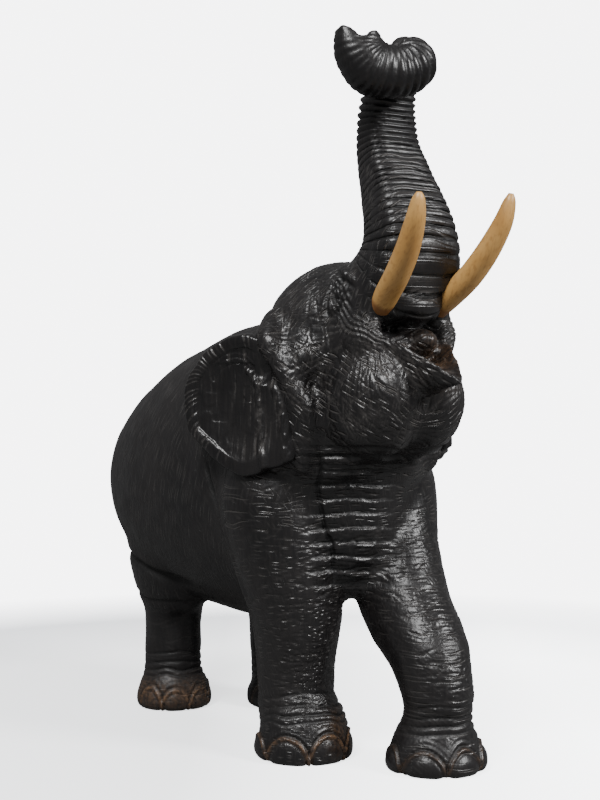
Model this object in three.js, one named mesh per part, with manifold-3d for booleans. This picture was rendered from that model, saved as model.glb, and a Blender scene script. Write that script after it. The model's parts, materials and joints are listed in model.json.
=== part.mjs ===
// A standing elephant carved from one block of dark wood, trunk raised and curled over, with
// two pale wooden tusks glued into drilled sockets. Millimetres, +Z up, facing -Y. The origin
// is on the surface it stands on, under the middle of its bounding box.
import * as THREE from "three";
import { mergeVertices } from "three/addons/utils/BufferGeometryUtils.js";
import Module from "manifold-3d";

// ---- driving dimensions -------------------------------------------------------------
const TUSK_GAP = 0.3; // glue line all round a tusk's root in its socket
const TUSK_DROP = 2.7; // the right tusk's point sits this much lower than the left one's
const EAR_THICKNESS = 5;
const LEFT_EAR_LIFT = 5; // the two ears are not level
const BALANCE = 8.9; // moves the animal back so that its box is centred on the origin

// ---- members ------------------------------------------------------------------------
// A member is a list of stations along its path: [x, y, z, half width, half depth].
const TORSO = [
  [0, 113, 112, 10, 12],
  [0, 109, 112, 27, 27],
  [0, 99, 111.5, 44, 41.5],
  [0, 82, 112, 56.5, 52.5],
  [0, 60, 113.5, 60, 61.5],
  [0, 32, 116.5, 59.5, 66.5],
  [0, 4, 120, 55.5, 68.5],
  [0, -22, 124, 49.5, 63],
  [0, -44, 124, 43, 54],
  [0, -60, 118, 32, 40],
  [0, -66, 113, 16, 20],
];
const NECK = [
  [0, -8, 132, 38, 48],
  [0, -30, 149, 38, 44],
  [0, -52, 163, 34, 38],
  [0, -66, 168, 26, 28],
];
// The brisket: from under the jowls down between the front legs.
const CHEST = [
  [0, -54, 150, 30, 22],
  [0, -52, 128, 29, 21],
  [0, -50, 108, 26, 19],
  [0, -51, 88, 20, 16.5],
  [0, -50, 74, 13, 12],
  [0, -48, 66, 6, 6],
];
// From inside the forehead up the raised trunk, then forward and across in the curl.
const TRUNK = [
  [0, -48, 178, 31, 24],
  [0, -68, 187, 27, 22.5],
  [0, -85, 197, 22.5, 20],
  [0, -93.5, 209, 19.8, 18.6],
  [0, -92, 223, 17.4, 16.6],
  [0, -85, 238, 15, 14.3],
  [0, -79, 252, 13.3, 12.3],
  [0, -77.4, 265, 12, 10.9],
  [0, -79, 276, 10.9, 9.8],
  [0.5, -82, 284, 10.3, 9.4],
  [2.5, -87.5, 289.5, 9.8, 9],
  [3.5, -93, 288.5, 9.4, 8.8],
  [0, -96.5, 284.5, 9.4, 9],
  [-8.5, -96, 281.8, 10, 9.4],
  [-16.8, -93.5, 283.5, 11, 9.8],
  [-21.8, -92, 289, 10.4, 8.4],
  [-22.6, -91.5, 296.4, 9.4, 6],
];
// The lower lip, running out to a point under the mouth.
const LIP = [
  [0, -84, 167, 20, 11],
  [0, -97, 167, 17, 8.5],
  [0, -108, 165, 13, 6.8],
  [0, -119, 161.5, 7.8, 4.8],
  [0, -127, 158.8, 3.4, 2.6],
  [0, -130.3, 157.8, 1.2, 1.2],
];
const LEG_FRONT_RIGHT = [
  [-18.6, -42, 0, 20.4, 20],
  [-18.6, -42, 5, 20.9, 20.8],
  [-18.6, -41, 13, 19.2, 19.2],
  [-18.8, -36.5, 22, 16.6, 16.8],
  [-19.4, -37, 40, 17, 18],
  [-20.6, -39, 62, 19.5, 21],
  [-25, -36, 86, 21.5, 25],
  [-29.5, -31, 112, 21.5, 27],
  [-29, -26, 140, 14, 20],
];
const LEG_FRONT_LEFT = [
  [18.3, -87.6, 0, 20.4, 19.8],
  [18.3, -87.6, 5, 20.9, 20.6],
  [18.3, -87.8, 13, 17.8, 17.8],
  [18.3, -88.5, 22, 13.9, 14.5],
  [18.3, -88.5, 32, 14.6, 16],
  [18.7, -81, 47, 16.6, 18],
  [19.6, -64, 64, 18.8, 20.5],
  [22.5, -49, 86, 20, 22],
  [26.6, -38, 112, 20.5, 25],
  [28, -32, 140, 13, 20],
];
const LEG_REAR_RIGHT = [
  [-25, 75.5, 0, 18, 18],
  [-25, 75.5, 4, 18.6, 18.6],
  [-25, 75.5, 11, 17.4, 17.4],
  [-25, 76, 18, 14.4, 14.8],
  [-25.2, 76, 31, 13.6, 15],
  [-25.6, 75, 48, 13.8, 17],
  [-27.4, 72, 60, 17.4, 23],
  [-29.4, 66, 78, 21, 28],
  [-30, 60, 100, 22, 30],
];
const LEG_REAR_LEFT = [
  [23.5, 50, 0, 18, 18],
  [23.5, 50, 4, 18.6, 18.6],
  [23.5, 50, 11, 17.4, 17.4],
  [23.8, 51.5, 18, 14.4, 14.8],
  [24.5, 54, 31, 13.6, 15],
  [25.4, 58, 48, 13.8, 17],
  [27.4, 62, 60, 17.4, 23],
  [29.4, 62, 78, 21, 28],
  [30, 60, 100, 22, 30],
];
const TAIL = [
  [0, 92, 154, 5, 5],
  [0, 106, 140, 4.8, 4.6],
  [0.5, 113, 116, 4, 3.8],
  [2, 110, 92, 3.4, 3.4],
  [4, 101, 70, 3.8, 3.4],
  [6, 94, 56, 4.8, 4],
  [7, 90, 46, 1.6, 1.6],
];
// The left tusk, from the bottom of its socket to its rounded point.
const TUSK = [
  [13.6, -94.5, 189, 4.9, 4.9],
  [15.2, -102, 193.6, 5, 5],
  [17.2, -112, 200.6, 5, 5],
  [18.9, -121.3, 209.8, 4.7, 4.7],
  [20.5, -128.4, 219.8, 3.9, 3.9],
  [21.3, -131.6, 227.6, 2.6, 2.6],
  [21.6, -132.4, 231.2, 1, 1],
];

// Rounded masses of the head: centre and radii. Those off the middle are made on both sides.
const CRANIUM = { centre: [0, -50, 179], radii: [37, 34, 32] };
const FACE = { centre: [0, -66, 172], radii: [31, 27, 26] };
const TUSK_BOSS = { centre: [13, -91, 184], radii: [10, 16, 13.5] };
const EAR_BASE = { centre: [27, -54, 148], radii: [15, 17, 29] };
const JOWL = { centre: [10, -76, 152], radii: [19, 34, 26] };

// The ear's outline in its own plane: distance out from its root, and height. The plane
// stands upright and runs from EAR_ROOT to EAR_EDGE, given as the left ear's x and y.
const EAR_ROOT = [37, -68];
const EAR_EDGE = [64, -18];
const EAR_OUTLINE = [
  [-6, 150], [-5, 168], [2, 173], [12.7, 176], [24, 177], [37, 173.5], [46.5, 166.5],
  [53, 156.5], [54.2, 148], [52, 139.5], [44.6, 132.7], [36.7, 125.7], [27.7, 119.2],
  [21, 117.8], [12, 119.5], [1, 122.5], [-6, 127],
];

// Toenails: low domes round the front of each foot, at these turns from straight ahead.
const NAIL = { radii: [6.4, 3.2, 7], height: 6.5 };
const FRONT_NAILS = { turns: [-88, -43, 2, 47, 92], reach: 19 };
const REAR_NAILS = { turns: [-66, -22, 22, 66], reach: 16.8 };

// ---- modelling ----------------------------------------------------------------------
const wasm = await Module();
wasm.setup();

// A closed three.js geometry as a solid that can be joined and cut.
function solid(geometry) {
  const bare = geometry.clone();
  bare.deleteAttribute("normal");
  bare.deleteAttribute("uv");
  const merged = mergeVertices(bare, 1e-4);
  return new wasm.Manifold(
    new wasm.Mesh({
      numProp: 3,
      vertProperties: new Float32Array(merged.attributes.position.array),
      triVerts: new Uint32Array(merged.index.array),
    }),
  );
}

function geometryOf(made) {
  const mesh = made.getMesh();
  return new THREE.BufferGeometry()
    .setAttribute("position", new THREE.BufferAttribute(mesh.vertProperties, 3))
    .setIndex(new THREE.BufferAttribute(mesh.triVerts, 1));
}

// Catmull-Rom blend of whole stations, so that path and section change smoothly together.
function between(stations, t) {
  const last = stations.length - 1;
  const i = Math.min(Math.floor(t * last), last - 1);
  const f = t * last - i;
  const near = [i - 1, i, i + 1, i + 2].map((k) => stations[Math.min(Math.max(k, 0), last)]);
  const [a, b, c, d] = near;
  return b.map((_, k) => {
    const slope = c[k] - a[k];
    const bend = 2 * a[k] - 5 * b[k] + 4 * c[k] - d[k];
    const twist = 3 * b[k] - a[k] - 3 * c[k] + d[k];
    return b[k] + 0.5 * f * (slope + f * (bend + f * twist));
  });
}

// A closed solid whose elliptical section is carried along the stations' path. The section's
// width starts along x and then turns only as much as the path makes it.
function loft(stations, rings, sides) {
  const centre = [];
  const half = [];
  for (let i = 0; i <= rings; i++) {
    const [x, y, z, a, b] = between(stations, i / rings);
    centre.push(new THREE.Vector3(x, y, z));
    half.push([a, b]);
  }
  const points = [];
  let wide = new THREE.Vector3(1, 0, 0);
  for (let i = 0; i <= rings; i++) {
    const along = centre[Math.min(i + 1, rings)].clone().sub(centre[Math.max(i - 1, 0)]);
    along.normalize();
    wide = wide.clone().addScaledVector(along, -wide.dot(along)).normalize();
    const deep = along.clone().cross(wide);
    for (let k = 0; k < sides; k++) {
      const turn = (2 * Math.PI * k) / sides;
      const point = centre[i].clone();
      point.addScaledVector(wide, half[i][0] * Math.cos(turn));
      points.push(point.addScaledVector(deep, half[i][1] * Math.sin(turn)));
    }
  }
  const first = points.push(centre[0]) - 1;
  const last = points.push(centre[rings]) - 1;
  const index = [];
  for (let k = 0; k < sides; k++) {
    const next = (k + 1) % sides;
    index.push(first, next, k);
    index.push(last, rings * sides + k, rings * sides + next);
    for (let i = 0; i < rings; i++) {
      const p = i * sides + k;
      const q = i * sides + next;
      index.push(p, q, q + sides, p, q + sides, p + sides);
    }
  }
  return new THREE.BufferGeometry().setFromPoints(points).setIndex(index);
}

function ellipsoid({ centre, radii }, around = 20, high = 12) {
  return new THREE.SphereGeometry(1, around, high).scale(...radii).translate(...centre);
}

function bothSides({ centre: [x, y, z], radii }) {
  return [-1, 1].map((side) => ellipsoid({ centre: [side * x, y, z], radii }));
}

// The left ear: its outline extruded, then stood in the vertical plane from root to edge.
function leftEar() {
  const corners = [...EAR_OUTLINE, EAR_OUTLINE[0]].map((p) => new THREE.Vector2(...p));
  const outline = new THREE.Shape(new THREE.SplineCurve(corners).getPoints(34));
  const plate = new THREE.ExtrudeGeometry(outline, { depth: EAR_THICKNESS, bevelEnabled: false });
  const root = new THREE.Vector3(...EAR_ROOT, 0);
  const out = new THREE.Vector3(...EAR_EDGE, 0).sub(root).normalize();
  const up = new THREE.Vector3(0, 0, 1);
  const through = out.clone().cross(up);
  plate.translate(0, 0, -EAR_THICKNESS / 2);
  plate.applyMatrix4(new THREE.Matrix4().makeBasis(out, up, through).setPosition(root));
  return solid(plate);
}

// The toenails of the foot a leg ends in.
function toenails(leg, { turns, reach }) {
  const [x, y] = leg[0];
  return turns.map((degrees) => {
    const turn = THREE.MathUtils.degToRad(degrees);
    const nail = new THREE.SphereGeometry(1, 10, 6).scale(...NAIL.radii);
    nail.translate(0, -reach, NAIL.height).rotateZ(-turn);
    return nail.translate(x, y, 0);
  });
}

function carvedBody() {
  const members = [
    loft(TORSO, 18, 28),
    loft(NECK, 6, 24),
    loft(CHEST, 8, 20),
    ellipsoid(CRANIUM),
    ellipsoid(FACE),
    ...bothSides(TUSK_BOSS),
    ...bothSides(EAR_BASE),
    ...bothSides(JOWL),
    loft(TRUNK, 40, 16),
    loft(LIP, 8, 14),
    loft(LEG_FRONT_RIGHT, 14, 18),
    loft(LEG_FRONT_LEFT, 14, 18),
    loft(LEG_REAR_RIGHT, 12, 18),
    loft(LEG_REAR_LEFT, 12, 18),
    ...toenails(LEG_FRONT_RIGHT, FRONT_NAILS),
    ...toenails(LEG_FRONT_LEFT, FRONT_NAILS),
    ...toenails(LEG_REAR_RIGHT, REAR_NAILS),
    ...toenails(LEG_REAR_LEFT, REAR_NAILS),
    loft(TAIL, 12, 8),
  ];
  const ear = leftEar();
  const ears = ear.translate([0, 0, LEFT_EAR_LIFT]).add(ear.mirror([1, 0, 0]));
  return members.map(solid).reduce((a, b) => a.add(b)).add(ears).trimByPlane([0, 0, 1], 0);
}

const last = TUSK.length - 1;
const TUSKS = {
  tusk_left: TUSK,
  tusk_right: TUSK.map(([x, y, z, a, b], i) => [-x, y, z - TUSK_DROP * (i / last) ** 2, a, b]),
};

// ---- the object ---------------------------------------------------------------------
const dark = new THREE.MeshStandardMaterial({ color: 0x1d1a19, roughness: 0.42 });
const pale = new THREE.MeshStandardMaterial({ color: 0xd2a564, roughness: 0.5 });

const elephant = new THREE.Group();
elephant.position.y = BALANCE;

function place(name, geometry, material) {
  const mesh = new THREE.Mesh(geometry, material);
  mesh.name = name;
  elephant.add(mesh);
}

let body = carvedBody();
for (const [name, stations] of Object.entries(TUSKS)) {
  const socket = stations.map(([x, y, z, a, b]) => [x, y, z, a + TUSK_GAP, b + TUSK_GAP]);
  body = body.subtract(solid(loft(socket, 14, 14)));
  place(name, loft(stations, 14, 14), pale);
}
place("carved_body", geometryOf(body), dark);

export default elephant;
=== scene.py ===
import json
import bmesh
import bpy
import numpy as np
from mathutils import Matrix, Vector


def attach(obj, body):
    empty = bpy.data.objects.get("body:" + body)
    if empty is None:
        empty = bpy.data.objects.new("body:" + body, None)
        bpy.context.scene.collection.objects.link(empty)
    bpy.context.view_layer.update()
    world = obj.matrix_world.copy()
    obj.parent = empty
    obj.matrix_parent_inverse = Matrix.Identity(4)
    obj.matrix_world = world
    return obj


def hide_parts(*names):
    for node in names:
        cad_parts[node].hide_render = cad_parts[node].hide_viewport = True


# %% [markdown]
# # A carved wooden elephant
# The real figure is one block of dark, ebonised wood, cut with chisels and small gouges, with
# two tusks of pale wood glued into it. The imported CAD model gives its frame: where the soles
# stand, how tall it is and where the tusks sit. This script builds the carved surface and the
# tusks inside that frame, gives them their woods, and sets a plain table and studio round them.
# Distances in the tables are millimetres, in the carver's own layout with the elephant facing
# -y. Blender's metres start where a mesh is made.

# %% Load the frame
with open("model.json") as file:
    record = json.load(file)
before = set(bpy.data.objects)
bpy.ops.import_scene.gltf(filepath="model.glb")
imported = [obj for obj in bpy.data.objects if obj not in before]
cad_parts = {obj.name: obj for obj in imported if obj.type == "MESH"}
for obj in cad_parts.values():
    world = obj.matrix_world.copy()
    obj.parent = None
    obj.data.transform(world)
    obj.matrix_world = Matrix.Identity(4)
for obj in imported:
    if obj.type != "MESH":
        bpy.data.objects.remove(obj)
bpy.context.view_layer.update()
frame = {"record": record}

MM = 0.001
sole = np.array(frame["record"]["mounts"][0]["pos_m"]) / MM

# %% [markdown]
# ## The masses
# A carver blocks out the big masses first. Each mass here is a row of stations along its own
# path: x, y, z, half width and half depth. Legs run up from the sole, the trunk runs out of the
# forehead, and the torso runs from rump to breast.

# %% Tables of stations
TORSO = [[0, 113, 112, 10, 12], [0, 109, 112, 27, 27], [0, 99, 111.5, 44, 41.5],
         [0, 82, 112, 56.5, 52.5], [0, 60, 113.5, 60, 61.5], [0, 32, 116.5, 59.5, 66.5],
         [0, 4, 120, 55.5, 68.5], [0, -22, 124, 49.5, 63], [0, -44, 124, 43, 54],
         [0, -60, 118, 32, 40], [0, -66, 113, 16, 20]]
NECK = [[0, -8, 132, 38, 48], [0, -30, 149, 38, 44], [0, -52, 163, 34, 38], [0, -66, 168, 26, 28]]
BRISKET = [[0, -54, 150, 31, 22], [0, -53, 128, 30, 21.5], [0, -51, 108, 27, 19.5],
           [0, -51, 88, 21, 17], [0, -50, 75.5, 14.5, 12], [0, -48, 68.5, 9, 6]]
TRUNK = [[0, -48, 178, 31, 24], [0, -68, 187, 27, 22.5], [0, -85, 197, 22.5, 20],
         [0, -93.5, 209, 19.8, 18.6], [0, -92, 223, 17.4, 16.6], [0, -85, 238, 15, 14.3],
         [0, -79, 252, 13.3, 12.3], [0, -77.4, 265, 12, 10.9], [0, -79, 276, 10.9, 9.8],
         [0.5, -82, 284, 10.3, 9.4], [2.5, -87.5, 289.5, 9.8, 9], [3.5, -93, 288.5, 9.4, 8.8],
         [0, -96.5, 284.5, 9.4, 9], [-8.5, -96, 281.8, 10, 9.4], [-16.8, -93.5, 283.5, 11, 9.8],
         [-21.8, -92, 289, 10.4, 8.4], [-22.6, -91.5, 296.4, 9.4, 6]]
LIP = [[0, -78, 166, 17, 14], [0, -92, 165.2, 17.2, 14.6], [0, -103, 163.6, 13.6, 12],
       [0, -110, 162.5, 10.6, 9.4], [0, -117, 161.6, 7.6, 6.9], [0, -124, 160, 4.4, 4],
       [0, -128.5, 158.8, 2.2, 1.9], [0, -130.8, 158.2, 0.9, 0.9]]
LEG_FRONT_RIGHT = [[-18.6, -42, 0, 20.4, 20], [-18.6, -42, 5, 20.9, 20.8],
                   [-18.6, -41, 13, 19.2, 19.2], [-18.8, -36.5, 22, 16.6, 16.8],
                   [-19.4, -37, 40, 17, 18], [-20.6, -39, 62, 19.5, 21],
                   [-25, -36, 86, 21.5, 25], [-29.5, -31, 112, 21.5, 27], [-29, -26, 140, 14, 20]]
LEG_FRONT_LEFT = [[18.3, -87.6, 0, 20.4, 19.8], [18.3, -87.6, 5, 20.9, 20.6],
                  [18.3, -87.8, 13, 17.8, 17.8], [18.3, -88.5, 22, 13.9, 14.5],
                  [18.3, -88.5, 32, 14.6, 16], [18.7, -81, 47, 16.6, 18],
                  [19.6, -64, 64, 18.8, 20.5], [22.5, -49, 86, 20, 22],
                  [26.6, -38, 112, 20.5, 25], [28, -32, 140, 13, 20]]
LEG_REAR_RIGHT = [[-25, 75.5, 0, 18, 18], [-25, 75.5, 4, 18.6, 18.6], [-25, 75.5, 11, 17.4, 17.4],
                  [-25, 76, 18, 14.4, 14.8], [-25.2, 76, 31, 13.6, 15], [-25.6, 75, 48, 13.8, 17],
                  [-27.4, 72, 60, 17.4, 23], [-29.4, 66, 78, 21, 28], [-30, 60, 100, 22, 30]]
LEG_REAR_LEFT = [[23.5, 50, 0, 18, 18], [23.5, 50, 4, 18.6, 18.6], [23.5, 50, 11, 17.4, 17.4],
                 [23.8, 54.5, 18, 14.4, 14.8], [24.3, 58, 31, 13.6, 15], [25.2, 61.5, 48, 13.8, 17],
                 [27.4, 62, 60, 17.4, 23], [29.4, 62, 78, 21, 28], [30, 60, 100, 22, 30]]
TAIL = [[0, 92, 154, 5, 5], [0, 106, 140, 4.8, 4.6], [0.5, 113, 116, 4, 3.8],
        [2, 110, 92, 3.4, 3.4], [4, 101, 70, 3.8, 3.4], [6, 94, 56, 4.8, 4], [7, 90, 46, 1.6, 1.6]]
LEGS = [LEG_FRONT_RIGHT, LEG_FRONT_LEFT, LEG_REAR_RIGHT, LEG_REAR_LEFT]
shift = sole - np.array(LEG_FRONT_RIGHT[0][:3])
print("the frame sets this layout", shift.round(2), "mm along")

# Rounded masses of the head: centre, then radii. Those off the middle are made on both sides.
CRANIUM = [[0, -50, 179], [37, 34, 32]]
FACE = [[0, -66, 172], [31, 27, 26]]
UPPER_JAW = [[0, -88, 189.3], [16.5, 18.5, 9.3]]
TUSK_BOSS = [[14, -85, 189], [8.5, 11, 9]]
MOUTH_CORNER = [[18, -86, 177], [7.5, 12.5, 11.5]]
MOUTH_FLOOR = [[0, -89, 172], [16, 16, 8.2]]
EAR_BASE = [[27, -54, 148], [15, 17, 29]]
JOWL = [[10, -76, 152], [19, 34, 26]]
TONGUE = [[0, -103, 174.6], [5.4, 9, 5.4]]
TEMPLE = [[31.5, -61, 167], [9, 12, 13]]
EAR_FRONT = [[30.5, -63, 139], [8, 9, 19]]
EAR_FOLD = [[33, -44, 184, 6, 8], [42, -54, 176, 5.6, 6], [40.5, -60, 167.5, 4.6, 5],
            [38, -65, 159, 4.2, 4.6], [34.5, -69, 150, 5, 5], [31, -70, 140, 5, 5]]

# %% [markdown]
# ## One profile carried along a path
# Every mass is the same kind of surface: an ellipse carried along a path, growing and shrinking
# as it goes. The stations are blended with a Catmull-Rom curve, and the profile is turned only
# as much as the path itself turns, so that nothing twists.

# %% The carried profile
def blended(stations, count):
    """Catmull-Rom: between two stations a cubic whose slope at each one is half the step from
    the station before it to the station after it. All five columns are blended alike."""
    p = np.asarray(stations, float)
    t = np.linspace(0, len(p) - 1, count)
    i = np.minimum(t.astype(int), len(p) - 2)
    f = (t - i)[:, None]
    a, b, c, d = (p[np.clip(i + k, 0, len(p) - 1)] for k in (-1, 0, 1, 2))
    return b + 0.5 * f * ((c - a) + f * ((2 * a - 5 * b + 4 * c - d) + f * (3 * b - a - 3 * c + d)))


def steady_frames(path):
    """For each point of a path: its direction, a width direction that starts along x and is
    made square to the path again at each step, and a depth direction square to both."""
    along = np.gradient(path, axis=0)
    along /= np.linalg.norm(along, axis=1, keepdims=True)
    wide = np.empty_like(path)
    held = np.array([1.0, 0.0, 0.0])
    for i, a in enumerate(along):
        held = held - a * (held @ a)
        held /= np.linalg.norm(held)
        wide[i] = held
    return along, wide, np.cross(along, wide)


def round_section(turn):
    """A unit circle: cosine across, sine deep."""
    return np.cos(turn), np.sin(turn)


def loft(stations, rings, sides, section=round_section):
    """Each point is the path's point, plus the width direction times the half width times the
    section's first value, plus the depth direction times the half depth times its second."""
    s = blended(stations, rings)
    _, wide, deep = steady_frames(s[:, :3])
    turn = np.arange(sides) * 2 * np.pi / sides
    across, down = section(turn)
    ring = (s[:, None, :3] + wide[:, None] * (s[:, 3, None] * across)[..., None]
            + deep[:, None] * (s[:, 4, None] * down)[..., None])
    return closed_grid(ring, s[0, :3], s[-1, :3])


def closed_grid(ring, first_pole, last_pole):
    """Points and four-cornered faces of a grid that is closed round, with a fan to a pole at
    each end. A pole's fan repeats its pole as a triangle's third corner."""
    rings, sides = ring.shape[:2]
    n = rings * sides
    i, k = np.meshgrid(np.arange(rings - 1), np.arange(sides), indexing="ij")
    p, q = i * sides + k, i * sides + (k + 1) % sides
    quads = np.stack([p, q, q + sides, p + sides], -1).reshape(-1, 4)
    k = np.arange(sides)
    after = (k + 1) % sides
    start = np.stack([np.full(sides, n), after, k], 1)
    end = np.stack([np.full(sides, n + 1), n - sides + k, n - sides + after], 1)
    points = np.vstack([ring.reshape(-1, 3), first_pole, last_pole])
    return points, quads, np.vstack([start, end])


def ellipsoid(centre, radii, rings=40, sides=56):
    """Latitude and longitude: centre plus radii times (cos lat cos lon, cos lat sin lon, sin lat)."""
    lat = np.linspace(-np.pi / 2, np.pi / 2, rings + 2)[1:-1, None]
    lon = np.arange(sides) * 2 * np.pi / sides
    unit = np.stack([np.cos(lat) * np.cos(lon), np.cos(lat) * np.sin(lon),
                     np.sin(lat) + 0 * lon], -1)
    centre, radii = np.array(centre, float), np.array(radii, float)
    down = np.array([0, 0, radii[2]])
    return closed_grid(centre + unit * radii, centre - down, centre + down)


def both_sides(centre, radii):
    """The ellipsoid and its mirror image."""
    return [ellipsoid([side * centre[0], centre[1], centre[2]], radii) for side in (-1, 1)]


def mirrored(stations, side):
    """The stations with x multiplied by `side`."""
    return [[side * x, *rest] for x, *rest in stations]


def make_mesh(name, surfaces, smooth=True):
    """One mesh from a list of (points, quads, triangles), moved to the frame and to metres."""
    points, loops, sizes, base = [], [], [], 0
    for p, quads, tris in surfaces:
        points.append(p)
        loops += [(quads + base).ravel(), (tris + base).ravel()]
        sizes += [np.full(len(quads), 4), np.full(len(tris), 3)]
        base += len(p)
    points, loops, sizes = np.vstack(points), np.concatenate(loops), np.concatenate(sizes)
    mesh = bpy.data.meshes.new(name)
    mesh.vertices.add(len(points))
    mesh.vertices.foreach_set("co", ((points + shift) * MM).ravel())
    mesh.loops.add(len(loops))
    mesh.loops.foreach_set("vertex_index", loops.astype(np.int32))
    mesh.polygons.add(len(sizes))
    mesh.polygons.foreach_set("loop_start", (np.cumsum(sizes) - sizes).astype(np.int32))
    mesh.polygons.foreach_set("use_smooth", np.full(len(sizes), smooth))
    mesh.update(calc_edges=True)
    mesh.validate()
    return mesh


def place(name, mesh):
    """A new object for the mesh, at the origin, in the scene."""
    piece = bpy.data.objects.new(name, mesh)
    bpy.context.scene.collection.objects.link(piece)
    return piece


# %% [markdown]
# ## Special sections
# The trunk's front face is nearly flat with a crisp edge at each side, where the carver ran the
# rings across it. The lower lip is a wedge, wide along its top edges and narrow underneath, and
# its top is scooped out like a spout.

# %% Trunk and lip sections
def trunk_section(turn):
    """A circle at the back. At the front a superellipse of power 4.2, pulled in to 0.84 of its
    depth, which leaves a flat face between two edges."""
    c, s = np.cos(turn), np.sin(turn)
    power = 2 / 4.2
    flat_c, flat_s = np.sign(c) * abs(c) ** power, np.sign(s) * abs(s) ** power * 0.84
    front = np.clip(-s * 3, 0, 1)
    return c + (flat_c - c) * front, s + (flat_s - s) * front


def lip_section(turn):
    """A boat's section, drawn as a row of corners joined by straight lines from the keel up to
    the rim and down into the hold. Both sides are alike."""
    corners = np.array([[-90, 0, -1], [-50, 0.5, -0.78], [-15, 0.8, -0.3], [15, 0.95, 0.4],
                        [35, 1, 0.95], [50, 0.84, 0.9], [68, 0.5, 0.28], [90, 0, 0.1]])
    half = np.degrees(np.arcsin(np.clip(np.sin(turn), -1, 1)))
    across = np.interp(half, corners[:, 0], corners[:, 1])
    return across * np.sign(np.cos(turn) + 1e-9), np.interp(half, corners[:, 0], corners[:, 2])


# %% [markdown]
# ## Joining the masses in one block
# Overlapping shells are turned into a single skin by a voxel remesh, which is how clay is fused.
# The seams between masses are then filled a little, as a chisel leaves them: a point moves out
# only where its neighbours stand higher than it does, so hollows fill and ridges stay.

# %% Fuse and fill
VOXEL = 1.25 * MM


def evaluated(piece):
    """The piece's mesh with its modifiers worked out."""
    graph = bpy.context.evaluated_depsgraph_get()
    return bpy.data.meshes.new_from_object(piece.evaluated_get(graph))


def with_modifier(mesh, kind, **settings):
    """The mesh as one modifier leaves it. The mesh given is used up."""
    piece = place("scratch", mesh)
    modifier = piece.modifiers.new(kind, kind)
    for key, value in settings.items():
        setattr(modifier, key, value)
    made = evaluated(piece)
    bpy.data.objects.remove(piece)
    bpy.data.meshes.remove(mesh)
    return made


def read(mesh, collection, field, width):
    """One field of a mesh collection as rows of `width` numbers."""
    data = getattr(mesh, collection)
    values = np.empty(len(data) * width, np.float32)
    data.foreach_get(field, values)
    return values.reshape(-1, width).astype(float)


def points_mm(mesh):
    """The mesh's points in the layout's millimetres."""
    return read(mesh, "vertices", "co", 3) / MM - shift


def normals_of(mesh):
    """One unit normal a point."""
    return read(mesh, "vertex_normals", "vector", 3)


def write_points(mesh, p):
    """Puts points given in the layout's millimetres back into the mesh."""
    mesh.vertices.foreach_set("co", ((p + shift) * MM).astype(np.float32).ravel())
    mesh.update()


def edges_of(mesh):
    """The two point numbers of every edge."""
    ends = np.empty(len(mesh.edges) * 2, np.int32)
    mesh.edges.foreach_get("vertices", ends)
    return ends.reshape(-1, 2)


def neighbour_mean(values, ends, degree):
    """The mean over each point's neighbours."""
    total = np.zeros_like(values)
    for column in range(values.shape[1]):
        for here, there in ((0, 1), (1, 0)):
            total[:, column] += np.bincount(ends[:, here], values[ends[:, there], column],
                                            len(values))
    return total / degree


def fill_hollows(mesh, rounds, amount):
    """Each round moves a point by its neighbours' mean less itself: all of it where that lies
    outwards, times `amount` (one value a point), and a little of it elsewhere."""
    ends = edges_of(mesh)
    p = points_mm(mesh)
    degree = np.bincount(ends.ravel(), minlength=len(p))[:, None].astype(float)
    for turn in range(rounds):
        if turn % 8 == 0:
            write_points(mesh, p)
            n = normals_of(mesh)
        pull = neighbour_mean(p, ends, degree) - p
        outward = np.sum(pull * n, 1, keepdims=True)
        p = p + pull * np.where(outward > 0, amount[:, None], 0.12)
    write_points(mesh, p)


masses = [loft(TORSO, 90, 120), loft(NECK, 30, 90), loft(BRISKET, 40, 80),
          ellipsoid(*CRANIUM), ellipsoid(*FACE), ellipsoid(*UPPER_JAW),
          *both_sides(*TUSK_BOSS), *both_sides(*EAR_BASE), *both_sides(*JOWL),
          *both_sides(*TEMPLE), *both_sides(*EAR_FRONT), *both_sides(*MOUTH_CORNER),
          ellipsoid(*MOUTH_FLOOR),
          loft(TRUNK, 240, 72, trunk_section), loft(LIP, 60, 64, lip_section),
          ellipsoid(*TONGUE, 16, 24), *[loft(leg, 80, 64) for leg in LEGS], loft(TAIL, 70, 24),
          *[loft(mirrored(EAR_FOLD, side), 40, 32) for side in (-1, 1)]]
block = with_modifier(make_mesh("block", masses), "REMESH", mode="VOXEL", voxel_size=VOXEL)
print("fused block:", len(block.vertices), "points")


def fill_amount(p):
    """How much a hollow fills: fully on the body, hardly on the trunk's curl, lip and feet."""
    x, y, z = p.T
    amount = np.full(len(p), 0.5)
    amount[(z > 262) | (z < 20)] = 0.06
    mouth = (y < -84) & (z > 150) & (z < 192) & (abs(x) < 15)
    amount[mouth] = 0.05
    amount[(y > 84) & (abs(x - 2) < 10)] = 0.06
    amount[(y > 84) & (z < 100)] = 0.1
    return amount


fill_hollows(block, 40, fill_amount(points_mm(block)))
block = with_modifier(block, "SUBSURF", levels=1, render_levels=1)
print("smoothed block:", len(block.vertices), "points")

# %% [markdown]
# ## Unevenness
# No hand-cut surface is even. The noise here is a lattice of random numbers, blended between
# its corners with a smooth step, which is enough to break up every regular pattern below.

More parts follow.
